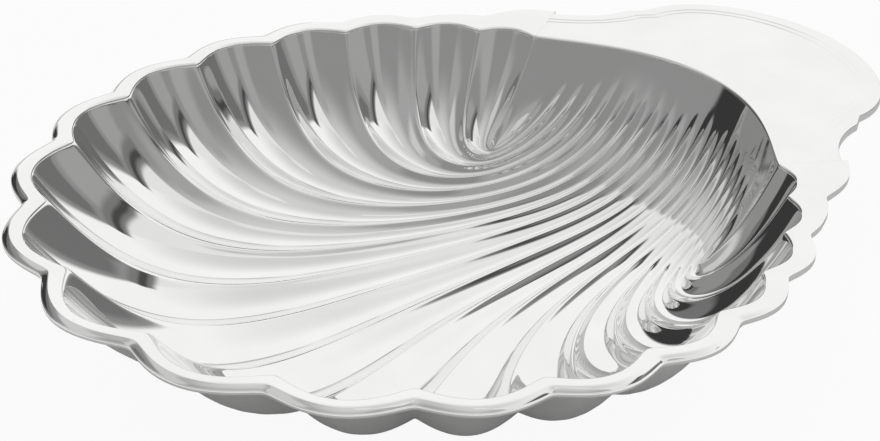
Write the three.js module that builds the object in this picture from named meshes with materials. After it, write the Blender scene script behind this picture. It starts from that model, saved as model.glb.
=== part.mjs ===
// Shell serving tray: a fluted bowl, a flat scalloped border, a hinge-shaped handle plate and the solder
// that joins them. Millimetres, +Z up, +X towards the handle, resting lands at z = 0.
import * as THREE from 'three';
import { mergeVertices } from 'three/addons/utils/BufferGeometryUtils.js';

const rad = THREE.MathUtils.degToRad;

// Shell plan: the circle through the teeth between the flutes, and how the flutes crowd towards the handle
const TOOTH_RADIUS = 112;
const FLUTES = 19;
const FAN_ANGLE = rad(148.5);
const FAN_TIGHTENING = 0.0915;

// Hinge side of the mouth, and the angle over which the flutes climb the hinge wall
const HINGE_BULGE = 9;
const HINGE_BULGE_POWER = 1.5;
const HINGE_FLUTE_SPREAD = rad(50.2);

// How far each crest runs straight out from the hinge wall before it turns to its tooth
const COMB_REACH = 59.9;
const COMB_REACH_SHARE = 0.457;
const TOOTH_LEAD = 0.02;

// Bowl section: depth of the flutes' floor under the border's top, and how steep the walls are
const BOWL_DEPTH = 40.8;
const WALL_POWER = 4.76;
const HINGE_WALL_POWER = 6.5;
const WALL_POWER_TURN = 1.174;
const FLUTE_RATIO = 0.18;
const CREST_SOFTNESS = 0.12;
const FLUTE_LEAN_POWER = 2;
const FLUTE_FADE_DEPTH = 21.5;
const FLUTE_FADE_START = 0.5;
const SHEET = 1.8;

// Depth of the flat lands rubbed under the flutes' floor, which the tray rests on
const LAND_CUT = 0.8;

// Border
const BORDER_WIDTH = 7.8;
const BORDER_FLARE = 14.5;
const BORDER_FLARE_FLUTES = 1.6;
const BORDER_FLARE_POWER = 1.3;
const OUTER_LOBE_SHARE = 0.82;
const OUTER_EDGE_RADIUS = 1.1;
const INNER_EDGE_RADIUS = 0.6;

// Ledge of the border over the bowl's flange, the skirt outside it, and the solder run between them
const LEDGE = 1;
const SKIRT_WIDTH = 1.6;
const FLANGE_THICKNESS = 1.1;
const SEAT_GAP = 0.3;
const SOLDER_WIDTH = 0.9;
const SOLDER_HOLLOW = 0.4;

// Handle plate
const JOINT_GAP = 0.3;
const JOINT_STEP = 2.2;
const LUG_LENGTH = 53.7;
const LUG_HALF_WIDTH = 51.3;
const LUG_SIDE_FULLNESS = 0.56;
const LUG_TIP_FULLNESS = 0.51;
const NECK_LENGTH = 13.4;
const NECK_SHOULDER = 3.6;
const NECK_STEP_RUN = 5;
const COVE_HOLLOW = 1.7;
const CREASE_INSET = 5;
const CREASE_SPACING = 2.4;
const CREASE_HALF_WIDTH = 0.4;
const CREASE_DEPTH = 0.35;

// Fineness of the faceted surfaces
const STEPS_PER_FLUTE = 8;
const STEP_CROWDING = 0.08;
const BOWL_ROWS = 16;
const COVE_STEPS = 5;
const LUG_STEPS = 14;

// Sizes that follow from those above
const HALF_FLUTES = FLUTES / 2;
const HINGE_FLUTE_PITCH = HINGE_FLUTE_SPREAD / FLUTES;
const HINGE_HALF_ANGLE = Math.PI - FAN_ANGLE;
const MOUTH_BACK = TOOTH_RADIUS + HINGE_BULGE;
const BORDER_THICKNESS = LEDGE + SEAT_GAP + FLANGE_THICKNESS;
const BORDER_NARROWEST = BORDER_WIDTH - (1 - OUTER_LOBE_SHARE) * lobeHeight(0);
const FLANGE_TOP = -LEDGE - SEAT_GAP;
const SKIRT_IN = BORDER_NARROWEST - SKIRT_WIDTH;
const SOLDER_OUT = SKIRT_IN - SEAT_GAP;
const SOLDER_IN = SOLDER_OUT - SOLDER_WIDTH;
const FLANGE_WIDTH = SOLDER_IN - SEAT_GAP;
const JOINT_RADIUS = TOOTH_RADIUS + BORDER_WIDTH + BORDER_FLARE;
const LUG_REACH = MOUTH_BACK + LUG_LENGTH;
const NECK_X = MOUTH_BACK + NECK_LENGTH;
const NECK_HALF_WIDTH = LUG_HALF_WIDTH + NECK_SHOULDER;
const REST_LEVEL = -BOWL_DEPTH - SHEET + LAND_CUT;
const FRONT_REACH = TOOTH_RADIUS + BORDER_WIDTH + OUTER_LOBE_SHARE * lobeHeight(0);
const CENTRE_X = (LUG_REACH - FRONT_REACH) / 2;

// Angle from the front of the shell at which flute boundary sigma meets the rim; sigma 0 is the middle.
function toothAngle(sigma) {
  const swept = 1 - Math.exp(-FAN_TIGHTENING * Math.abs(sigma));
  const whole = 1 - Math.exp(-FAN_TIGHTENING * HALF_FLUTES);
  return Math.sign(sigma) * FAN_ANGLE * swept / whole;
}

// Angle between neighbouring flute boundaries at the rim.
function toothPitch(sigma) {
  const whole = 1 - Math.exp(-FAN_TIGHTENING * HALF_FLUTES);
  return FAN_ANGLE * FAN_TIGHTENING * Math.exp(-FAN_TIGHTENING * Math.abs(sigma)) / whole;
}

function lobeHeight(sigma) {
  return FLUTE_RATIO * TOOTH_RADIUS * toothPitch(sigma);
}

// 0 on a crest, 1 in the middle of a flute, with a rounded crest.
function fluteProfile(sigma) {
  const wave = Math.sin(Math.PI * (sigma + HALF_FLUTES));
  const soft = CREST_SOFTNESS;
  return (Math.sqrt(wave * wave + soft * soft) - soft) / (Math.sqrt(1 + soft * soft) - soft);
}

function polar(radius, angle) {
  return new THREE.Vector2(radius * Math.cos(angle), radius * Math.sin(angle));
}

// Plan point on the rim side: angle is measured from the front.
function rimPoint(radius, sigma) {
  return polar(radius, Math.PI - toothAngle(sigma));
}

// Mouth of the bowl on the crest line, by angle from the handle side.
function mouthRadius(angle) {
  const turn = Math.abs(angle) / HINGE_HALF_ANGLE;
  if (turn >= 1) {
    return TOOTH_RADIUS;
  }
  return TOOTH_RADIUS + HINGE_BULGE * Math.cos(turn * Math.PI / 2) ** HINGE_BULGE_POWER;
}

// Plan of flute boundary sigma: t = 0 at the rim, t = 1 at the top of the hinge wall.
function crestPlan(sigma, t) {
  const tooth = rimPoint(TOOTH_RADIUS, sigma);
  const hingeAngle = sigma * HINGE_FLUTE_PITCH;
  const hinge = polar(mouthRadius(hingeAngle), hingeAngle);
  const reach = COMB_REACH + COMB_REACH_SHARE * hinge.distanceTo(tooth);
  const lead = tooth.clone().multiplyScalar(1 - TOOTH_LEAD);
  const comb = new THREE.Vector2(hinge.x - reach, hinge.y);
  return new THREE.CubicBezierCurve(tooth, lead, comb, hinge).getPoint(t);
}

// Share of the way from the bowl's centre to its mouth, and the flute floors' level there.
function floorLevel(plan) {
  const angle = Math.atan2(plan.y, plan.x);
  const share = Math.min(plan.length() / mouthRadius(angle), 1);
  const turn = Math.min(Math.abs(angle) * WALL_POWER_TURN, Math.PI);
  const power = WALL_POWER + (HINGE_WALL_POWER - WALL_POWER) * (1 + Math.cos(turn)) / 2;
  const level = FLANGE_TOP - (BOWL_DEPTH + FLANGE_TOP) * (1 - share ** power);
  return { share, level };
}

// Distance across one flute, square to its run.
function fluteWidth(sigma, t) {
  const step = 0.001;
  const across = crestPlan(sigma + step, t).sub(crestPlan(sigma - step, t)).divideScalar(2 * step);
  const along = crestPlan(sigma, Math.min(t + step, 1)).sub(crestPlan(sigma, Math.max(t - step, 0)));
  return Math.abs(across.cross(along.normalize()));
}

// One point of the bowl sheet, on its inner and outer faces. On the walls a flute is hollowed outward from
// its crests; on the floor its crests stand up from it.
function sheetPoints(plan, fluteDepth, profile) {
  const { share, level } = floorLevel(plan);
  const lean = share ** FLUTE_LEAN_POWER;
  const fall = Math.sqrt(1 - lean * lean);
  const outward = plan.clone().normalize();
  const at = (thickness) => {
    const p = plan.clone().addScaledVector(outward, (fluteDepth * profile + thickness) * lean);
    return new THREE.Vector3(p.x, p.y, level + (fluteDepth * (1 - profile) - thickness) * fall);
  };
  const inner = at(0);
  const outer = at(SHEET);
  outer.z = Math.max(Math.min(outer.z, -BORDER_THICKNESS), REST_LEVEL);
  return { inner, outer };
}

function flutedPoints(sigma, t) {
  const plan = crestPlan(sigma, t);
  const depth = -floorLevel(plan).level;
  const climbing = t > FLUTE_FADE_START;
  const fade = climbing ? THREE.MathUtils.smoothstep(depth, -FLANGE_TOP, FLUTE_FADE_DEPTH) : 1;
  return sheetPoints(plan, FLUTE_RATIO * fluteWidth(sigma, t) * fade, fluteProfile(sigma));
}

// The smooth pocket beyond the last flute is folded shut along its own middle line.
function pocketPoints(sigma, row) {
  const there = crestPlan(sigma, rowShare(row));
  const back = crestPlan(sigma, rowShare(BOWL_ROWS - row));
  return sheetPoints(there.add(back).multiplyScalar(0.5), 0, 0);
}

function rowShare(row) {
  return 1 - (1 - row / BOWL_ROWS) ** 2;
}

// Places across all the flutes, closer together at the crests.
function flutePositions() {
  const positions = [];
  for (let i = 0; i <= FLUTES * STEPS_PER_FLUTE; i += 1) {
    const even = i / STEPS_PER_FLUTE;
    positions.push(even - STEP_CROWDING * Math.sin(2 * Math.PI * even) - HALF_FLUTES);
  }
  return positions;
}

function pushRadially(point, distance, z) {
  const plan = new THREE.Vector2(point.x, point.y);
  plan.setLength(plan.length() + distance);
  return new THREE.Vector3(plan.x, plan.y, z);
}

// Joins columns of points into one skin. Each column is a closed section; a ring joins its last column to
// its first.
function skin(columns, ring) {
  const positions = [];
  const index = [];
  const rows = columns[0].length;
  for (const column of columns) {
    for (const p of column) {
      positions.push(p.x - CENTRE_X, p.y, p.z - REST_LEVEL);
    }
  }
  const spans = ring ? columns.length : columns.length - 1;
  for (let c = 0; c < spans; c += 1) {
    const next = (c + 1) % columns.length;
    for (let r = 0; r < rows; r += 1) {
      const up = (r + 1) % rows;
      index.push(c * rows + r, next * rows + r, next * rows + up);
      index.push(c * rows + r, next * rows + up, c * rows + up);
    }
  }
  return { positions, index, rows, columns: columns.length };
}

function capEnds(body, section) {
  const faces = THREE.ShapeUtils.triangulateShape(section, []);
  const last = (body.columns - 1) * body.rows;
  for (const [a, b, c] of faces) {
    body.index.push(c, b, a);
    body.index.push(last + a, last + b, last + c);
  }
}

function toGeometry(body) {
  const raw = new THREE.BufferGeometry();
  raw.setAttribute('position', new THREE.Float32BufferAttribute(body.positions, 3));
  raw.setIndex(body.index);
  const welded = mergeVertices(raw, 1e-4);
  const corners = welded.index.array;
  const kept = [];
  for (let i = 0; i < corners.length; i += 3) {
    const [a, b, c] = [corners[i], corners[i + 1], corners[i + 2]];
    if (a !== b && b !== c && c !== a) {
      kept.push(a, b, c);
    }
  }
  welded.setIndex(kept);
  welded.computeVertexNormals();
  return welded;
}

// Fluted bowl: a pressed sheet with a narrow flange turned out all round its mouth.
function bowlGeometry() {
  const columns = [];
  const addColumn = (pointsAt) => {
    const rows = [];
    for (let row = 0; row <= BOWL_ROWS; row += 1) {
      rows.push(pointsAt(row));
    }
    const inner = rows.map((p) => p.inner);
    const outer = rows.map((p) => p.outer);
    const ends = [inner[0], inner[BOWL_ROWS]];
    const top = ends.map((p) => pushRadially(p, FLANGE_WIDTH, FLANGE_TOP));
    const under = ends.map((p) => pushRadially(p, FLANGE_WIDTH, -BORDER_THICKNESS));
    columns.push([top[0], ...inner, top[1], under[1], ...outer.reverse(), under[0]]);
  };
  addColumn((row) => pocketPoints(-HALF_FLUTES, row));
  for (const sigma of flutePositions()) {
    addColumn((row) => flutedPoints(sigma, rowShare(row)));
  }
  addColumn((row) => pocketPoints(HALF_FLUTES, row));
  return toGeometry(skin(columns.reverse(), false));
}

// Inner and outer edges of the border in the direction of flute position sigma.
function borderEdges(sigma) {
  const lobe = lobeHeight(sigma) * fluteProfile(sigma);
  const flareShare = Math.max(Math.abs(sigma) - HALF_FLUTES + BORDER_FLARE_FLUTES, 0) / BORDER_FLARE_FLUTES;
  const flare = BORDER_FLARE * flareShare ** BORDER_FLARE_POWER;
  const inner = TOOTH_RADIUS + lobe;
  const outer = TOOTH_RADIUS + BORDER_WIDTH + OUTER_LOBE_SHARE * lobe + flare;
  return { inner, outer };
}

// Section of the border and the handle plate at their inner edge: rounded top corner, thin ledge over the
// flange and the seat cut into the underside. Distances run outward from the mouth.
function seatSection() {
  const round = INNER_EDGE_RADIUS;
  const bevel = round * (1 - Math.SQRT1_2);
  const under = [[SKIRT_IN, -BORDER_THICKNESS], [SKIRT_IN, -LEDGE], [0, -LEDGE]];
  const over = [[0, -round], [bevel, -bevel], [round, 0]];
  return [...under, ...over];
}

// Rounded outer edge, measured inward from the outline.
function outerSection() {
  const round = OUTER_EDGE_RADIUS;
  const bevel = round * (1 - Math.SQRT1_2);
  return [[round, 0], [bevel, -bevel], [0, -round], [0, -BORDER_THICKNESS]];
}

// Flat scalloped border from one handle joint round the front to the other.
function borderGeometry() {
  const columns = [];
  let section = [];
  for (const sigma of flutePositions()) {
    const { inner, outer } = borderEdges(sigma);
    const seat = seatSection().map(([out, z]) => [inner + out, z]);
    const edge = outerSection().map(([inset, z]) => [outer - inset, z]);
    section = [...seat, ...edge];
    columns.push(section.map(([radius, z]) => {
      const plan = rimPoint(radius, sigma);
      return new THREE.Vector3(plan.x, plan.y, z);
    }));
  }
  const body = skin(columns, false);
  capEnds(body, section.map(([radius, z]) => new THREE.Vector2(radius, z)));
  return toGeometry(body);
}

// Half outline of the handle plate, from the joint with the border to the tip, drawn in by inset.
function plateOutline(inset) {
  const start = jointPoint(JOINT_RADIUS - JOINT_STEP - inset);
  const neck = new THREE.Vector2(NECK_X, NECK_HALF_WIDTH - inset);
  const shoulder = new THREE.Vector2(NECK_X + NECK_STEP_RUN, LUG_HALF_WIDTH - inset);
  const coveControl = new THREE.Vector2(MOUTH_BACK, NECK_HALF_WIDTH + COVE_HOLLOW - inset);
  const cove = new THREE.QuadraticBezierCurve(start, coveControl, neck);
  const tip = new THREE.Vector2(LUG_REACH - inset, 0);
  const sideRun = LUG_SIDE_FULLNESS * (tip.x - shoulder.x);
  const sideControl = new THREE.Vector2(shoulder.x + sideRun, shoulder.y);
  const tipControl = new THREE.Vector2(tip.x, LUG_TIP_FULLNESS * shoulder.y);
  const lug = new THREE.CubicBezierCurve(shoulder, sideControl, tipControl, tip);
  return [...cove.getPoints(COVE_STEPS), ...lug.getPoints(LUG_STEPS)];
}

// Point on the handle's side of its joint with the border.
function jointPoint(radius) {
  const alongJoint = polar(radius, HINGE_HALF_ANGLE);
  const clear = polar(JOINT_GAP, HINGE_HALF_ANGLE - Math.PI / 2);
  return alongJoint.add(clear);
}

// Handle plate: the hinge of the shell, with two fine creases following its outline.
function handleGeometry() {
  const round = outerSection();
  const topInsets = [];
  for (const inset of [CREASE_INSET + CREASE_SPACING, CREASE_INSET]) {
    topInsets.push([inset + CREASE_HALF_WIDTH, 0]);
    topInsets.push([inset, -CREASE_DEPTH]);
    topInsets.push([inset - CREASE_HALF_WIDTH, 0]);
  }
  const lines = [...topInsets, ...round].map(([inset, z]) => ({ points: plateOutline(inset), z }));
  const count = lines[0].points.length;
  const half = [];
  for (let i = 0; i < count; i += 1) {
    const angle = HINGE_HALF_ANGLE * (1 - i / (count - 1));
    const seat = seatSection().map(([out, z]) => {
      const radius = mouthRadius(angle) + out;
      const plan = i === 0 ? jointPoint(radius) : polar(radius, angle);
      return new THREE.Vector3(plan.x, plan.y, z);
    });
    const edge = lines.map(({ points, z }) => new THREE.Vector3(points[i].x, points[i].y, z));
    half.push([...seat, ...edge]);
  }
  const mirrored = half.slice(0, -1).reverse().map((column) => {
    return column.map((p) => new THREE.Vector3(p.x, -p.y, p.z));
  });
  const body = skin([...half, ...mirrored], false);
  capEnds(body, half[0].map((p) => new THREE.Vector2(Math.hypot(p.x, p.y), p.z)));
  return toGeometry(body);
}

// Solder run into the channel outside the flange, all the way round.
function solderGeometry() {
  const section = [
    [SOLDER_IN, -BORDER_THICKNESS + SOLDER_HOLLOW],
    [SOLDER_OUT, -BORDER_THICKNESS],
    [SOLDER_OUT, -LEDGE - SEAT_GAP],
    [SOLDER_IN, -LEDGE - SEAT_GAP],
  ];
  const mouth = flutePositions().map((sigma) => rimPoint(borderEdges(sigma).inner, sigma));
  const hingeSteps = COVE_STEPS + LUG_STEPS + 1;
  for (let i = 1; i < 2 * hingeSteps; i += 1) {
    const angle = HINGE_HALF_ANGLE * (i / hingeSteps - 1);
    mouth.push(polar(mouthRadius(angle), -angle));
  }
  const columns = mouth.map((p) => section.map(([out, z]) => pushRadially(p, out, z)));
  return toGeometry(skin(columns.reverse(), true));
}

const group = new THREE.Group();
group.name = 'shell_serving_tray';

function addPiece(name, geometry, colour, roughness) {
  const material = new THREE.MeshStandardMaterial({ color: colour, roughness, metalness: 1 });
  material.name = name;
  const mesh = new THREE.Mesh(geometry, material);
  mesh.name = name;
  group.add(mesh);
}

addPiece('shell_bowl', bowlGeometry(), 0xd8d8d8, 0.06);
addPiece('rim_border', borderGeometry(), 0xdadada, 0.06);
addPiece('handle_plate', handleGeometry(), 0xdadada, 0.06);
addPiece('solder_seam', solderGeometry(), 0x9d9d9a, 0.4);

export default group;
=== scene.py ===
import math

import bpy
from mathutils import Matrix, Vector


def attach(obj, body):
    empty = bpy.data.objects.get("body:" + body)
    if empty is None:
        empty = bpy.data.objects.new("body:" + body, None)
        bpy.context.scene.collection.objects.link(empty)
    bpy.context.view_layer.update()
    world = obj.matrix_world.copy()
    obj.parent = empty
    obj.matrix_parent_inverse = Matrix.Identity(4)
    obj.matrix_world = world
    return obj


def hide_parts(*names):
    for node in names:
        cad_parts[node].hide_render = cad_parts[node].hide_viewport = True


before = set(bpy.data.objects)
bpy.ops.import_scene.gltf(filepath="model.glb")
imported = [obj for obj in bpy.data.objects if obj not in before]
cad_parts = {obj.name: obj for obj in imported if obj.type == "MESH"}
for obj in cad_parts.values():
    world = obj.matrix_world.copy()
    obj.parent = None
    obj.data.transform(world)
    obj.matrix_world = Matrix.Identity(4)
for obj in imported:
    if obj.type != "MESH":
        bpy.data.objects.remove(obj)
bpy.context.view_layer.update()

# Shell bowl: one sheet of silver-plated metal pressed into nineteen flutes, which fan out from the
# hinge wall to the scalloped rim. It is polished bright inside and out, and a narrow flange turned
# out round its mouth is soldered under the border and the handle plate.


class Measure:
    """A number worked out at every point of a piece's skin, in millimetres or radians."""

    def __init__(self, tree, socket):
        self.tree = tree
        self.socket = socket

    def worked(self, operation, *others):
        node = self.tree.nodes.new("ShaderNodeMath")
        node.operation = operation
        for place, value in zip(node.inputs, (self, *others)):
            if isinstance(value, Measure):
                self.tree.links.new(value.socket, place)
            else:
                place.default_value = value
        return Measure(self.tree, node.outputs[0])

    def __add__(self, other):
        return self.worked("ADD", other)

    def __sub__(self, other):
        return self.worked("SUBTRACT", other)

    def __mul__(self, other):
        return self.worked("MULTIPLY", other)

    def __truediv__(self, other):
        return self.worked("DIVIDE", other)

    def __pow__(self, other):
        return self.worked("POWER", other)

    __radd__ = __add__
    __rmul__ = __mul__

    def __rsub__(self, other):
        return self * -1.0 + other

    def sine(self):
        return self.worked("SINE")

    def cosine(self):
        return self.worked("COSINE")

    def root(self):
        return self.worked("SQRT")

    def size(self):
        return self.worked("ABSOLUTE")

    def sign(self):
        return self.worked("SIGN")

    def whole(self):
        return self.worked("ROUND")

    def at_least(self, other):
        return self.worked("MAXIMUM", other)

    def at_most(self, other):
        return self.worked("MINIMUM", other)

    def above(self, other):
        return self.worked("GREATER_THAN", other)

    def fallen(self):
        """e to the power of minus this."""
        return (self * -1.0).worked("EXPONENT")

    def eased(self):
        """0 to 1 with soft ends."""
        share = self.at_least(0.0).at_most(1.0)
        return share * share * (3.0 - share * 2.0)


def size_tree(name, sizes):
    """A node tree whose inputs are a piece's named sizes, and those sizes as measures."""
    tree = bpy.data.node_groups.new(name, "GeometryNodeTree")
    tree.interface.new_socket("Piece", in_out="OUTPUT", socket_type="NodeSocketGeometry")
    for size, value in sizes.items():
        kind = "NodeSocketInt" if isinstance(value, int) else "NodeSocketFloat"
        tree.interface.new_socket(size, in_out="INPUT", socket_type=kind)
    drawn = tree.nodes.new("NodeGroupInput")
    return tree, {size: Measure(tree, drawn.outputs[size]) for size in sizes}


def skin_grid(tree, columns, rows):
    """A flat sheet of points to be pressed into shape, with each point's column and row."""
    grid = tree.nodes.new("GeometryNodeMeshGrid")
    grid.inputs["Size X"].default_value = 1.0
    grid.inputs["Size Y"].default_value = 1.0
    tree.links.new(columns.socket, grid.inputs["Vertices X"])
    tree.links.new(rows.socket, grid.inputs["Vertices Y"])
    place = tree.nodes.new("GeometryNodeInputPosition")
    split = tree.nodes.new("ShaderNodeSeparateXYZ")
    tree.links.new(place.outputs[0], split.inputs[0])
    column = ((Measure(tree, split.outputs["X"]) + 0.5) * (columns - 1.0)).whole()
    row = ((Measure(tree, split.outputs["Y"]) + 0.5) * (rows - 1.0)).whole()
    return grid, column, row


def point(tree, x, y, z):
    """One vector from three measures or plain numbers."""
    node = tree.nodes.new("ShaderNodeCombineXYZ")
    for place, value in zip(node.inputs, (x, y, z)):
        if isinstance(value, Measure):
            tree.links.new(value.socket, place)
        else:
            place.default_value = value
    return node.outputs[0]


def press_skin(tree, grid, position, run, metal, flip):
    """Moves the sheet's points into place, closes its seams and gives it its metal."""
    seam_reach = 5e-6
    marked = tree.nodes.new("GeometryNodeStoreNamedAttribute")
    marked.data_type = "FLOAT_VECTOR"
    marked.domain = "POINT"
    marked.inputs["Name"].default_value = "polish_run"
    moved = tree.nodes.new("GeometryNodeSetPosition")
    closed = tree.nodes.new("GeometryNodeMergeByDistance")
    closed.inputs["Distance"].default_value = seam_reach
    turned = tree.nodes.new("GeometryNodeFlipFaces")
    turned.inputs["Selection"].default_value = flip
    real = tree.nodes.new("GeometryNodeRealizeInstances")
    plated = tree.nodes.new("GeometryNodeSetMaterial")
    plated.inputs["Material"].default_value = metal
    out = tree.nodes.new("NodeGroupOutput")
    tree.links.new(run, marked.inputs["Value"])
    tree.links.new(position, moved.inputs["Position"])
    chain = [grid.outputs["Mesh"], marked, moved, closed, turned, real, plated, out]
    for before, after in zip(chain, chain[1:]):
        source = before if before is chain[0] else before.outputs[0]
        tree.links.new(source, after.inputs[0])


def pressed_piece(name, tree, sizes):
    """Runs a piece's tree with its sizes and keeps the result as a plain mesh."""
    sharpest_smooth_turn = math.radians(48)
    piece = bpy.data.objects.new(name, bpy.data.meshes.new(name))
    bpy.context.scene.collection.objects.link(piece)
    press = piece.modifiers.new("press", "NODES")
    press.node_group = tree
    for item in tree.interface.items_tree:
        if item.in_out == "INPUT":
            press[item.identifier] = sizes[item.name]
    ready = piece.evaluated_get(bpy.context.evaluated_depsgraph_get())
    mesh = bpy.data.meshes.new_from_object(ready)
    piece.modifiers.remove(press)
    piece.data = mesh
    mesh.name = name
    mesh.shade_smooth()
    mesh.set_sharp_from_angle(angle=sharpest_smooth_turn)
    return piece


def polished_metal(name, tone, gloss, ripple, seed):
    """Plate with a faint mottle in its tone, polishing marks along the run, and a slight ripple."""
    dulled = [part * keep for part, keep in zip(tone, (0.955, 0.953, 0.947))]
    metal = bpy.data.materials.new(name)
    metal.use_nodes = True
    nodes, links = metal.node_tree.nodes, metal.node_tree.links
    shader = nodes["Principled BSDF"]
    shader.inputs["Metallic"].default_value = 1.0
    place = nodes.new("ShaderNodeTexCoord")
    mottle = nodes.new("ShaderNodeTexNoise")
    mottle.inputs["Scale"].default_value = 38.0
    mottle.inputs["Detail"].default_value = 4.0
    tint = nodes.new("ShaderNodeValToRGB")
    tint.color_ramp.elements[0].position = 0.3
    tint.color_ramp.elements[0].color = (*dulled, 1.0)
    tint.color_ramp.elements[1].position = 0.7
    tint.color_ramp.elements[1].color = (*tone, 1.0)
    links.new(place.outputs["Object"], mottle.inputs["Vector"])
    links.new(mottle.outputs["Fac"], tint.inputs["Fac"])
    links.new(tint.outputs["Color"], shader.inputs["Base Color"])
    run = nodes.new("ShaderNodeAttribute")
    run.attribute_name = "polish_run"
    stretch = nodes.new("ShaderNodeMapping")
    stretch.inputs["Location"].default_value = (seed, seed, 0.0)
    marks = nodes.new("ShaderNodeTexNoise")
    marks.inputs["Scale"].default_value = 9.0
    marks.inputs["Detail"].default_value = 5.0
    sheen = nodes.new("ShaderNodeMapRange")
    sheen.inputs["From Min"].default_value = 0.35
    sheen.inputs["From Max"].default_value = 0.7
    sheen.inputs["To Min"].default_value = gloss[0]
    sheen.inputs["To Max"].default_value = gloss[1]
    links.new(run.outputs["Vector"], stretch.inputs["Vector"])
    links.new(stretch.outputs["Vector"], marks.inputs["Vector"])
    links.new(marks.outputs["Fac"], sheen.inputs["Value"])
    links.new(sheen.outputs["Result"], shader.inputs["Roughness"])
    waves = nodes.new("ShaderNodeTexNoise")
    waves.inputs["Scale"].default_value = 55.0
    waves.inputs["Detail"].default_value = 1.0
    relief = nodes.new("ShaderNodeBump")
    relief.inputs["Strength"].default_value = 1.0
    relief.inputs["Distance"].default_value = ripple
    links.new(place.outputs["Object"], waves.inputs["Vector"])
    links.new(waves.outputs["Fac"], relief.inputs["Height"])
    links.new(relief.outputs["Normal"], shader.inputs["Normal"])
    return metal


millimetre = 0.001

bowl_sizes = {
    "Tooth radius": 112.0,
    "Flutes": 19,
    "Fan angle": math.radians(148.5),
    "Fan tightening": 0.0915,
    "Hinge bulge": 9.0,
    "Hinge bulge power": 1.5,
    "Hinge flute spread": math.radians(50.2),
    "Comb reach": 59.9,
    "Comb reach share": 0.457,
    "Tooth lead": 0.02,
    "Bowl depth": 40.8,
    "Wall power": 4.76,
    "Hinge wall power": 6.5,
    "Wall power turn": 1.174,
    "Flute ratio": 0.18,
    "Crest softness": 0.12,
    "Narrow flute": 19.0,
    "Least flute": 0.5,
    "Narrow deepening": 0.6,
    "Narrow softening": 0.6,
    "Crest power": 0.8,
    "Flute fade top": 8.0,
    "Flute fade depth": 36.0,
    "Flute fade start": 0.5,
    "Sheet": 1.8,
    "Land cut": 0.8,
    "Flange top": 1.01,
    "Flange width": 3.22,
    "Border thickness": 2.4,
    "Centre": 24.074,
    "Steps per flute": 28,
    "Step crowding": 0.08,
    "Pocket steps": 6,
    "Inner rows": 96,
    "Outer rows": 40,
    "Rim crowding": 1.4,
    "Hinge crowding": 2.2,
    "Marks per flute": 4.0,
    "Marks along": 1.2,
}


def mouth_radius(s, angle):
    """Radius of the bowl's mouth by angle from the handle side, and how fast it changes."""
    half = math.pi - s["Fan angle"]
    turn = (angle.size() / half).at_most(1.0) * (math.pi / 2)
    swell = s["Hinge bulge"] * turn.cosine() ** s["Hinge bulge power"]
    radius = s["Tooth radius"] + swell
    power = s["Hinge bulge power"]
    slope = s["Hinge bulge"] * power * turn.cosine() ** (power - 1.0)
    slope = slope * turn.sine() * (math.pi / 2) / half * angle.sign() * -1.0
    return radius, slope


def tooth_angle(s, sigma):
    """Angle from the front at which flute position sigma meets the rim, and one flute's angle."""
    far = (s["Fan tightening"] * sigma.size()).fallen()
    whole = 1.0 - (s["Fan tightening"] * s["Flutes"] / 2.0).fallen()
    angle = sigma.sign() * s["Fan angle"] * (1.0 - far) / whole
    pitch = s["Fan angle"] * s["Fan tightening"] * far / whole
    return angle, pitch


def flute_profile(s, sigma, soft):
    """0 on a crest and 1 in the middle of a flute, with the crest rounded off by soft."""
    wave = ((sigma + s["Flutes"] / 2.0) * math.pi).sine()
    hollow = (wave * wave + soft * soft).root() - soft
    return hollow / ((soft * soft + 1.0).root() - soft)


def flute_run(s, sigma, t):
    """Plan of a flute line from the rim, t = 0, to the hinge wall's top, t = 1, and its width."""
    angle, pitch = tooth_angle(s, sigma)
    rim = s["Tooth radius"]
    tooth = (rim * angle.cosine() * -1.0, rim * angle.sine())
    tooth_step = (rim * angle.sine() * pitch, rim * angle.cosine() * pitch)
    spread = s["Hinge flute spread"] / s["Flutes"]
    climb = sigma * spread
    mouth, slope = mouth_radius(s, climb)
    hinge = (mouth * climb.cosine(), mouth * climb.sine())
    hinge_step = (
        spread * (slope * climb.cosine() - mouth * climb.sine()),
        spread * (slope * climb.sine() + mouth * climb.cosine()),
    )
    gap = (hinge[0] - tooth[0], hinge[1] - tooth[1])
    gap_step = (hinge_step[0] - tooth_step[0], hinge_step[1] - tooth_step[1])
    length = (gap[0] * gap[0] + gap[1] * gap[1]).root()
    reach = s["Comb reach"] + s["Comb reach share"] * length
    reach_step = s["Comb reach share"] * (gap[0] * gap_step[0] + gap[1] * gap_step[1]) / length
    keep = 1.0 - s["Tooth lead"]
    back = 1.0 - t
    weights = (back * back * back, back * back * t * 3.0, back * t * t * 3.0, t * t * t)
    speeds = (back * back * 3.0, back * t * 6.0, t * t * 3.0)
    plan, across, along = [], [], []
    for axis in (0, 1):
        comb = hinge[0] - reach if axis == 0 else hinge[1]
        comb_step = hinge_step[0] - reach_step if axis == 0 else hinge_step[1]
        ends = (tooth[axis], tooth[axis] * keep, comb, hinge[axis])
        steps = (tooth_step[axis], tooth_step[axis] * keep, comb_step, hinge_step[axis])
        plan.append(sum((w * e for w, e in zip(weights[1:], ends[1:])), weights[0] * ends[0]))
        across.append(sum((w * e for w, e in zip(weights[1:], steps[1:])), weights[0] * steps[0]))
        moves = [(b - a) * v for a, b, v in zip(ends, ends[1:], speeds)]
        along.append(moves[0] + moves[1] + moves[2])
    speed = (along[0] * along[0] + along[1] * along[1]).root()
    width = ((across[0] * along[1] - across[1] * along[0]) / speed).size()
    return plan, width


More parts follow.
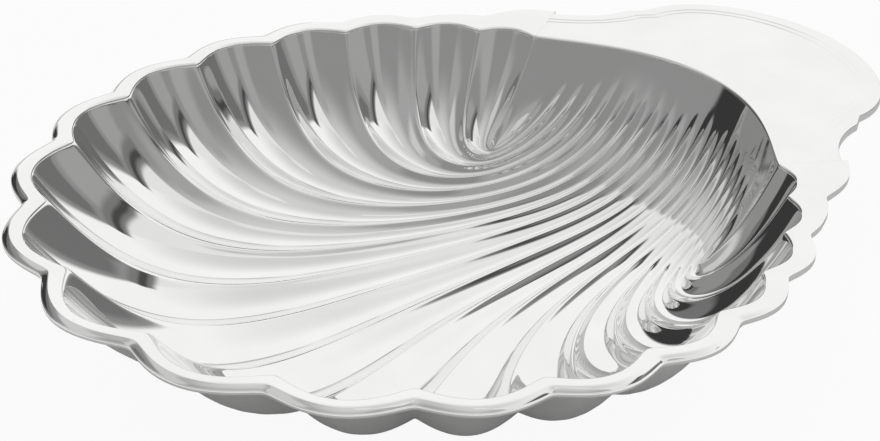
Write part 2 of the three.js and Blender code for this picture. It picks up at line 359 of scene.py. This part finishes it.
def bowl_tree(metal):
    tree, s = size_tree("shell_bowl_press", bowl_sizes)
    fluted = s["Flutes"] * s["Steps per flute"]
    columns = fluted + s["Pocket steps"] * 2.0 + 1.0
    ends_flanges_and_closing = 7.0
    rows = s["Inner rows"] + s["Outer rows"] + ends_flanges_and_closing
    grid, column, row = skin_grid(tree, columns, rows)

    # Across: the flutes, their steps crowded at the crests, and a smooth pocket beyond the last one
    # on each side
    step = (column - s["Pocket steps"]).at_least(0.0).at_most(fluted)
    even = step / s["Steps per flute"]
    sigma = even - (even * (2 * math.pi)).sine() * s["Step crowding"] - s["Flutes"] / 2.0
    past_last = column - s["Pocket steps"] - fluted
    beyond = (s["Pocket steps"] - column).at_least(past_last).at_least(0.0)
    pocket = beyond / s["Pocket steps"]
    in_pocket = pocket.above(0.0)

    # Along: up the inner face to the hinge wall, round the flange there, back under the outer face,
    # and round the flange at the rim
    outer_row = row - s["Inner rows"] - 3.0
    going, returning = row / s["Inner rows"], 1.0 - outer_row / s["Outer rows"]
    share = going.at_most(returning).at_least(0.0).at_most(1.0)
    is_outer = outer_row.above(-0.5) * (1.0 - outer_row.above(s["Outer rows"] + 0.5))
    hinge_top = outer_row.above(-2.5) * (1.0 - outer_row.above(-1.5))
    hinge_under = outer_row.above(-1.5) * (1.0 - outer_row.above(-0.5))
    last = s["Outer rows"]
    rim_under = outer_row.above(last + 0.5) * (1.0 - outer_row.above(last + 1.5))
    rim_top = outer_row.above(last + 1.5) * (1.0 - outer_row.above(last + 2.5))

    def run_share(value):
        return 1.0 - (1.0 - value ** s["Rim crowding"]) ** s["Hinge crowding"]

    t = run_share(share)
    there, width = flute_run(s, sigma, t)
    back = flute_run(s, sigma, run_share(1.0 - share))[0]
    there_angle = there[1].worked("ARCTAN2", there[0])
    back_angle = back[1].worked("ARCTAN2", back[0])
    there_radius = (there[0] * there[0] + there[1] * there[1]).root()
    back_radius = (back[0] * back[0] + back[1] * back[1]).root()
    there_far = there_radius / mouth_radius(s, there_angle)[0]
    back_far = back_radius / mouth_radius(s, back_angle)[0]
    fold = pocket * 0.5
    angle = there_angle + (back_angle - there_angle) * fold
    far = there_far + (back_far - there_far) * fold
    mouth = mouth_radius(s, angle)[0]

    # Section: how far out the point is, how deep the floor lies there, and the flute pressed into it
    far = far.at_most(1.0)
    turn = (angle.size() * s["Wall power turn"]).at_most(math.pi)
    steeper = s["Hinge wall power"] - s["Wall power"]
    steep = s["Wall power"] + steeper * (turn.cosine() + 1.0) / 2.0
    depth = s["Flange top"] + (s["Bowl depth"] - s["Flange top"]) * (1.0 - far ** steep)
    climbing = t.above(s["Flute fade start"])
    fade_top = s["Flute fade top"]
    fade = ((depth - fade_top) / (s["Flute fade depth"] - fade_top)).eased()
    narrow = (s["Narrow flute"] / width.at_least(s["Least flute"])).at_least(1.0)
    pressed = s["Flute ratio"] * width * narrow ** s["Narrow deepening"]
    flute = pressed * (1.0 - climbing * (1.0 - fade))
    soft = s["Crest softness"] * narrow ** s["Narrow softening"]
    hollow = flute_profile(s, sigma + sigma.sign() * fold, soft)
    lean = far * far
    fall = (1.0 - lean * lean).at_least(0.0).root()
    sheet = s["Sheet"] * is_outer
    out = (flute * hollow * (1.0 - in_pocket) + sheet) * lean
    crest = 1.0 - hollow.at_least(0.0) ** s["Crest power"]
    level = (flute * crest - sheet) * fall - depth
    rest = s["Land cut"] - s["Bowl depth"] - s["Sheet"]
    outer_level = level.at_most(s["Border thickness"] * -1.0).at_least(rest)
    level = level + (outer_level - level) * is_outer
    flange_top = hinge_top + rim_top
    flange_under = hinge_under + rim_under
    on_flange = flange_top + flange_under
    out = out + s["Flange width"] * on_flange
    level = level + (s["Flange top"] * -1.0 - level) * flange_top
    level = level + (s["Border thickness"] * -1.0 - level) * flange_under
    radius = mouth * far + out
    x = (radius * angle.cosine() - s["Centre"]) * millimetre
    y = radius * angle.sine() * millimetre
    z = (level - rest) * millimetre
    run = point(tree, sigma * s["Marks per flute"], t * s["Marks along"], is_outer)
    press_skin(tree, grid, point(tree, x, y, z), run, metal, True)
    return tree


bowl_metal = polished_metal(
    "bowl_silver_plate", tone=(0.93, 0.93, 0.925), gloss=(0.02, 0.05), ripple=0.00002, seed=3.0
)
shell_bowl = pressed_piece("shell_bowl_polished", bowl_tree(bowl_metal), bowl_sizes)
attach(shell_bowl, "root")
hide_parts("shell_bowl")

# Rim border: a flat strip of the same plate, cut to follow the flutes in scallops, with its top
# rounded over to a narrow lip round the front. It lies on the bowl's flange from one side of the
# handle to the other, and is soldered to it from below.

shared_with_bowl = (
    "Tooth radius",
    "Flutes",
    "Fan angle",
    "Fan tightening",
    "Flute ratio",
    "Crest softness",
    "Border thickness",
    "Centre",
    "Steps per flute",
    "Step crowding",
)
border_sizes = {
    **{size: bowl_sizes[size] for size in shared_with_bowl},
    "Border width": 7.74,
    "Border flare": 14.5,
    "Flare flutes": 1.6,
    "Flare power": 1.3,
    "Outer lobe share": 0.82,
    "Crown width": 2.9,
    "Crown drop": 1.4,
    "Crown least share": 0.1,
    "Crown flutes": 4.0,
    "Crown fade flutes": 3.0,
    "Lip width": 0.35,
    "Under turn": 0.3,
    "Inner edge width": 1.8,
    "Inner edge drop": 0.96,
    "Ledge": 1.0,
    "Seat": 4.716,
    "End middle": 0.8,
    "Rest level": 41.8,
    "Edge steps": 8,
    "Marks across": 0.3,
    "Marks along": 0.8,
}


def border_tree(metal):
    tree, s = size_tree("rim_border_press", border_sizes)
    fluted = s["Flutes"] * s["Steps per flute"]
    end_and_closing_columns, flat_and_closing_rows = 3.0, 8.0
    columns = fluted + end_and_closing_columns
    edge = s["Edge steps"]
    rows = edge * 3.0 + flat_and_closing_rows
    grid, column, row = skin_grid(tree, columns, rows)

    # Along: the scallops from one joint with the handle to the other, and a column that closes each
    # end
    even = (column - 1.0).at_least(0.0).at_most(fluted) / s["Steps per flute"]
    sigma = even - (even * (2 * math.pi)).sine() * s["Step crowding"] - s["Flutes"] / 2.0
    closing = (1.0 - column.above(0.5)).at_least(column.above(fluted + 1.5))
    angle, pitch = tooth_angle(s, sigma)
    deep = s["Flute ratio"] * s["Tooth radius"] * pitch
    lobe = deep * flute_profile(s, sigma, s["Crest softness"])
    from_end = sigma.size() - s["Flutes"] / 2.0 + s["Flare flutes"]
    flared = from_end.at_least(0.0) / s["Flare flutes"]
    flare = s["Border flare"] * flared ** s["Flare power"]
    inner = s["Tooth radius"] + lobe
    outer = s["Tooth radius"] + s["Border width"] + s["Outer lobe share"] * lobe + flare

    # Across: foot of the skirt, seat over the flange, rounded inner edge, flat top, crown that falls
    # towards the outer edge round the front, a narrow flat lip, and the side below it
    skirt_top = row.above(0.5)
    ledge_in = row.above(1.5)
    inner_turn = ((row - 3.0) / edge).at_least(0.0).at_most(1.0) * (math.pi / 2)
    crown = ((row - 4.0 - edge) / edge).at_least(0.0).at_most(1.0)
    under_turn = ((row - 6.0 - edge * 2.0) / edge).at_least(0.0).at_most(1.0) * (math.pi / 2)
    on_inner = row.above(2.5)
    on_crown = row.above(edge + 3.5)
    on_lip = row.above(edge * 2.0 + 4.5)
    on_under = row.above(edge * 2.0 + 5.5)
    foot = row.above(edge * 3.0 + 6.5)
    rounded = 1.0 - ((sigma.size() - s["Crown flutes"]) / s["Crown fade flutes"]).eased()
    least = s["Crown least share"]
    drop = s["Crown drop"] * (rounded * (1.0 - least) + least)
    seat_radius = inner + s["Seat"] * (1.0 - ledge_in)
    inner_radius = inner + s["Inner edge width"] * (1.0 - inner_turn.cosine())
    radius = seat_radius + (inner_radius - seat_radius) * on_inner
    lip = outer - s["Lip width"]
    radius = radius + (lip - s["Crown width"] * (1.0 - crown) - radius) * on_crown
    radius = radius + s["Lip width"] * on_lip
    radius = radius - s["Under turn"] * (1.0 - under_turn.cosine()) * on_under
    radius = radius + (inner + s["Seat"] - radius) * foot
    seat_level = s["Border thickness"] * -1.0 + (s["Border thickness"] - s["Ledge"]) * skirt_top
    inner_level = s["Inner edge drop"] * (inner_turn.sine() - 1.0)
    level = seat_level + (inner_level - seat_level) * on_inner
    level = level - drop * crown * crown * on_crown
    level = level - (s["Border thickness"] - drop) * under_turn.sine() * on_under
    level = level + (s["Border thickness"] * -1.0 - level) * foot
    heart = inner + s["Seat"] + s["End middle"]
    radius = radius + (heart - radius) * closing
    level = level + (s["Ledge"] * -0.5 - level) * closing
    x = (radius * angle.cosine() * -1.0 - s["Centre"]) * millimetre
    y = radius * angle.sine() * millimetre
    z = (level + s["Rest level"]) * millimetre
    run = point(tree, radius * s["Marks across"], angle * s["Marks along"], 2.0)
    press_skin(tree, grid, point(tree, x, y, z), run, metal, False)
    return tree


border_metal = polished_metal(
    "border_silver_plate", tone=(0.935, 0.935, 0.93), gloss=(0.03, 0.06), ripple=0.00001, seed=7.0
)
rim_border = pressed_piece("rim_border_polished", border_tree(border_metal), border_sizes)
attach(rim_border, "root")
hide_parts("rim_border")

# Handle plate: the flat hinge of the shell, cut from plate as thick as the border, with two fine
# creases chased along its outline. It lies on the flange at the back of the bowl, is soldered there,
# and butts against both ends of the border.

handle_sizes = {
    **{size: bowl_sizes[size] for size in ("Tooth radius", "Hinge bulge", "Hinge bulge power")},
    **{size: border_sizes[size] for size in ("Inner edge width", "Inner edge drop", "Ledge")},
    **{size: border_sizes[size] for size in ("Seat", "End middle", "Centre", "Rest level")},
    "Half angle": math.radians(31.5),
    "Joint radius": 132.1,
    "Joint gap": 0.02,
    "Neck x": 134.4,
    "Neck half width": 54.9,
    "Cove hollow": 1.7,
    "Shoulder run": 5.0,
    "Lug half width": 51.3,
    "Lug reach": 174.7,
    "Side fullness": 0.56,
    "Tip fullness": 0.51,
    "Crease inset": 5.0,
    "Crease spacing": 2.4,
    "Crease half width": 0.4,
    "Crease depth": 0.18,
    "Outer edge radius": 0.3,
    "Thickness": border_sizes["Border thickness"],
    "Flat shares": (0.04, 0.35, 0.7, 0.96),
    "Cove steps": 20,
    "Neck steps": 3,
    "Lug steps": 44,
    "Edge steps": 9,
    "Marks along": 60.0,
    "Marks across": 900.0,
}


def handle_columns(h):
    """From the joint to the tip: the mouth's angle and the outline's point at any inset."""
    half, reach = h["Half angle"], h["Lug reach"]

    def cove(share):
        def at(inset):
            arm = h["Joint radius"] - inset
            start = Vector((arm * math.cos(half), arm * math.sin(half)))
            start += Vector((math.sin(half), -math.cos(half))) * h["Joint gap"]
            mouth_back = h["Tooth radius"] + h["Hinge bulge"]
            bend = Vector((mouth_back, h["Neck half width"] + h["Cove hollow"] - inset))
            end = Vector((h["Neck x"], h["Neck half width"] - inset))
            rest = 1 - share
            return start * rest ** 2 + bend * 2 * share * rest + end * share ** 2
        return at

    def neck(share):
        def at(inset):
            start = Vector((h["Neck x"], h["Neck half width"] - inset))
            end = Vector((h["Neck x"] + h["Shoulder run"], h["Lug half width"] - inset))
            return start.lerp(end, share)
        return at

    def lug(share):
        def at(inset):
            start = Vector((h["Neck x"] + h["Shoulder run"], h["Lug half width"] - inset))
            tip = Vector((reach - inset, 0.0))
            side = Vector((start.x + h["Side fullness"] * (tip.x - start.x), start.y))
            crown = Vector((tip.x, h["Tip fullness"] * start.y))
            rest = 1 - share
            first = start * rest ** 3 + side * 3 * rest ** 2 * share
            return first + crown * 3 * rest * share ** 2 + tip * share ** 3
        return at

    walk = [cove(i / h["Cove steps"]) for i in range(h["Cove steps"])]
    walk += [neck(i / h["Neck steps"]) for i in range(h["Neck steps"])]
    walk += [lug(i / h["Lug steps"]) for i in range(h["Lug steps"] + 1)]
    last = len(walk) - 1
    return [(half * (1 - i / last), at) for i, at in enumerate(walk)]


def handle_mesh(h):
    """The plate's skin: one closed section for each column, and a fan of faces at each joint."""
    sharpest_smooth_turn = math.radians(16)
    turns = [math.pi / 2 * i / h["Edge steps"] for i in range(h["Edge steps"] + 1)]
    seat, thick = h["Seat"], -h["Thickness"]
    inner = [(seat, thick), (seat, -h["Ledge"]), (0.0, -h["Ledge"])]
    wide, drop, large = h["Inner edge width"], h["Inner edge drop"], h["Outer edge radius"]
    inner += [(wide * (1 - math.cos(a)), drop * (math.sin(a) - 1)) for a in turns]
    outer = []
    for middle in (h["Crease inset"] + h["Crease spacing"], h["Crease inset"]):
        wide = h["Crease half width"]
        outer += [(middle + wide, 0.0), (middle, -h["Crease depth"]), (middle - wide, 0.0)]
    outer += [(large * (1 - math.sin(a)), large * (math.cos(a) - 1)) for a in turns]
    outer += [(0.0, thick)]

    def placed(x, y, level):
        place = (x - h["Centre"], y, level + h["Rest level"])
        return tuple(length * millimetre for length in place)

    def section(angle, at, side):
        turn = math.pi / 2 * angle / h["Half angle"]
        swell = max(math.cos(turn), 0.0) ** h["Hinge bulge power"]
        mouth = h["Tooth radius"] + h["Hinge bulge"] * swell
        shift = h["Joint gap"] if angle == h["Half angle"] else 0.0
        along = Vector((math.cos(angle), math.sin(angle)))
        aside = Vector((math.sin(angle), -math.cos(angle))) * shift
        plan = [(along * (mouth + out) + aside, level) for out, level in inner]
        near, far = plan[-1][0], at(outer[0][0])
        plan += [(near.lerp(far, share), 0.0) for share in h["Flat shares"]]
        plan += [(at(inset), level) for inset, level in outer]
        heart = along * (mouth + seat + h["End middle"]) + aside
        ring = [placed(p.x, p.y * side, level) for p, level in plan]
        return ring, placed(heart.x, heart.y * side, -h["Ledge"] / 2)

    walk = handle_columns(h)
    made = [section(angle, at, 1) for angle, at in walk]
    made += [section(angle, at, -1) for angle, at in reversed(walk[:-1])]
    count, ends = len(made[0][0]), len(made)
    points = [place for ring, heart in made for place in ring]
    points += [made[0][1], made[-1][1]]
    faces = []
    for c in range(ends - 1):
        for r in range(count):
            n = (r + 1) % count
            faces.append((c * count + r, (c + 1) * count + r, (c + 1) * count + n, c * count + n))
    for r in range(count):
        n = (r + 1) % count
        faces.append((r, n, ends * count))
        faces.append(((ends - 1) * count + n, (ends - 1) * count + r, ends * count + 1))
    mesh = bpy.data.meshes.new("handle_plate_polished")
    mesh.from_pydata(points, [], faces)
    runs = mesh.attributes.new("polish_run", "FLOAT_VECTOR", "POINT")
    for value, place in zip(runs.data, points):
        value.vector = (place[0] * h["Marks along"], place[1] * h["Marks across"], 4.0)
    mesh.shade_smooth()
    mesh.set_sharp_from_angle(angle=sharpest_smooth_turn)
    return mesh


handle_metal = polished_metal(
    "handle_silver_plate", tone=(0.935, 0.935, 0.93), gloss=(0.03, 0.06), ripple=0.00001, seed=11.0
)
handle_plate = bpy.data.objects.new("handle_plate_polished", handle_mesh(handle_sizes))
handle_plate.data.materials.append(handle_metal)
bpy.context.scene.collection.objects.link(handle_plate)
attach(handle_plate, "root")
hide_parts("handle_plate")

# Solder seam: soft solder run into the channel outside the bowl's flange, under the border and the
# handle plate. It is seen only from below, as a dull grey bead all the way round.

solder_metal = polished_metal(
    "dull_solder", tone=(0.45, 0.45, 0.44), gloss=(0.3, 0.5), ripple=0.0002, seed=5.0
)
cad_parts["solder_seam"].data.materials.clear()
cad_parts["solder_seam"].data.materials.append(solder_metal)

# Studio: a white floor and backdrop in a grey room, a bright panel high on the right with a dark strip
# under it, a dark gap beside the backdrop on the right and a dark flag on the left. The camera stands
# at the front left and looks along camera_heading.

camera_heading = Vector((0.534, 0.687, -0.493)).normalized()

floor_paint = bpy.data.materials.new("white_floor")
floor_paint.use_nodes = True
floor_tree = floor_paint.node_tree
floor_shader = floor_tree.nodes["Principled BSDF"]
floor_shader.inputs["Roughness"].default_value = 0.9
ray = floor_tree.nodes.new("ShaderNodeLightPath")
seen = Measure(floor_tree, ray.outputs["Is Camera Ray"])
mirrored = Measure(floor_tree, ray.outputs["Is Glossy Ray"]).at_least(
    Measure(floor_tree, ray.outputs["Is Transmission Ray"])
)
floor_white, glow_to_camera, glow_to_mirrors = 0.9, 0.93, 0.03
floor_tone = seen * (1.0 - floor_white) + floor_white
floor_tree.links.new(floor_tone.socket, floor_shader.inputs["Base Color"])
floor_glow = floor_tree.nodes.new("ShaderNodeEmission")
floor_mix = floor_tree.nodes.new("ShaderNodeMixShader")
floor_share = (seen * glow_to_camera).at_least(mirrored * glow_to_mirrors)
floor_tree.links.new(floor_share.socket, floor_mix.inputs[0])
floor_tree.links.new(floor_shader.outputs[0], floor_mix.inputs[1])
floor_tree.links.new(floor_glow.outputs[0], floor_mix.inputs[2])
floor_tree.links.new(floor_mix.outputs[0], floor_tree.nodes["Material Output"].inputs["Surface"])
floor_mesh = bpy.data.meshes.new("floor")
reach, floor_drop = 6.0, 0.0002
corners = [(-reach, -reach, 0.0), (reach, -reach, 0.0), (reach, reach, 0.0), (-reach, reach, 0.0)]
floor_mesh.from_pydata(corners, [], [(0, 1, 2, 3)])
floor_mesh.materials.append(floor_paint)
floor = bpy.data.objects.new("floor", floor_mesh)
bpy.context.scene.collection.objects.link(floor)
floor.location = (0.0, 0.0, -floor_drop)

studio = bpy.data.worlds.new("grey_room")
bpy.context.scene.world = studio
studio.use_nodes = True
room = studio.node_tree
look = room.nodes.new("ShaderNodeTexCoord")
split = room.nodes.new("ShaderNodeSeparateXYZ")
room.links.new(look.outputs["Generated"], split.inputs[0])
east, north, up = (Measure(room, split.outputs[axis]) for axis in "XYZ")
ahead = Vector((camera_heading.x, camera_heading.y)).normalized()
degree = 180 / math.pi
to_the_right = east * ahead.y - north * ahead.x
straight_on = east * ahead.x + north * ahead.y
height = up.at_least(-1.0).at_most(1.0).worked("ARCSINE") * degree
bearing = to_the_right.worked("ARCTAN2", straight_on) * degree


def panel(light, level, sides, heights, soft):
    """Light with a soft-edged panel set into it, between two bearings and two heights in degrees."""
    across = ((bearing - sides[0]) / soft).eased() * ((sides[1] - bearing) / soft).eased()
    upright = ((height - heights[0]) / soft).eased() * ((heights[1] - height) / soft).eased()
    return light + (level - light) * across * upright


# The room and the backdrop change with height, and the backdrop's right edge leans
backdrop_edge = height + 30.0
backdrop_light = 0.97 - ((height - 40.0) / 42.0).eased() * 0.3
light = 0.28 + ((height - 40.0) / 46.0).eased() * 0.38

# Walls behind the camera, on the right and on the left
light = panel(light, level=0.38, sides=(132, 166), heights=(-20, 70), soft=10.0)
light = panel(light, level=0.36, sides=(82, 122), heights=(-20, 46), soft=8.0)
light = panel(light, level=0.38, sides=(-138, -92), heights=(22, 62), soft=12.0)

# Bright panel high on the right, a weaker one high on the left, and the backdrop
light = panel(light, level=0.82, sides=(-4, 124), heights=(44, 94), soft=6.0)
light = panel(light, level=0.62, sides=(-110, 4), heights=(34, 62), soft=8.0)
light = panel(light, level=backdrop_light, sides=(-30, backdrop_edge), heights=(-20, 84), soft=5.0)

# Dark gap beside the backdrop, dark strip under the bright panel, and the flag on the left
light = panel(light, level=0.17, sides=(backdrop_edge, 81), heights=(-20, 38), soft=5.0)
light = panel(light, level=0.20, sides=(66, 128), heights=(37.5, 49.5), soft=3.0)
light = panel(light, level=0.07, sides=(66, 124), heights=(41.5, 46.5), soft=2.0)
light = panel(light, level=0.17, sides=(-77, -29), heights=(-20, 28), soft=3.0)
light = panel(light, level=0.04, sides=(-76, -29), heights=(-20, 19), soft=3.0)

# The camera itself sees plain white behind the tray
sight = Measure(room, room.nodes.new("ShaderNodeLightPath").outputs["Is Camera Ray"])
light = light + (1.0 - light) * sight
room.links.new(light.socket, room.nodes["Background"].inputs["Strength"])
room.nodes["Background"].inputs["Color"].default_value = (1.0, 1.0, 1.0, 1.0)

lens = bpy.data.cameras.new("camera")
lens.sensor_width = 36.0
lens.lens = 98.26
camera = bpy.data.objects.new("camera", lens)
bpy.context.scene.collection.objects.link(camera)
camera.location = (-0.4123, -0.5107, 0.3921)
camera.rotation_mode = "QUATERNION"
camera.rotation_quaternion = camera_heading.to_track_quat("-Z", "Y")
bpy.context.scene.camera = camera
bpy.context.scene.view_settings.view_transform = "Standard"
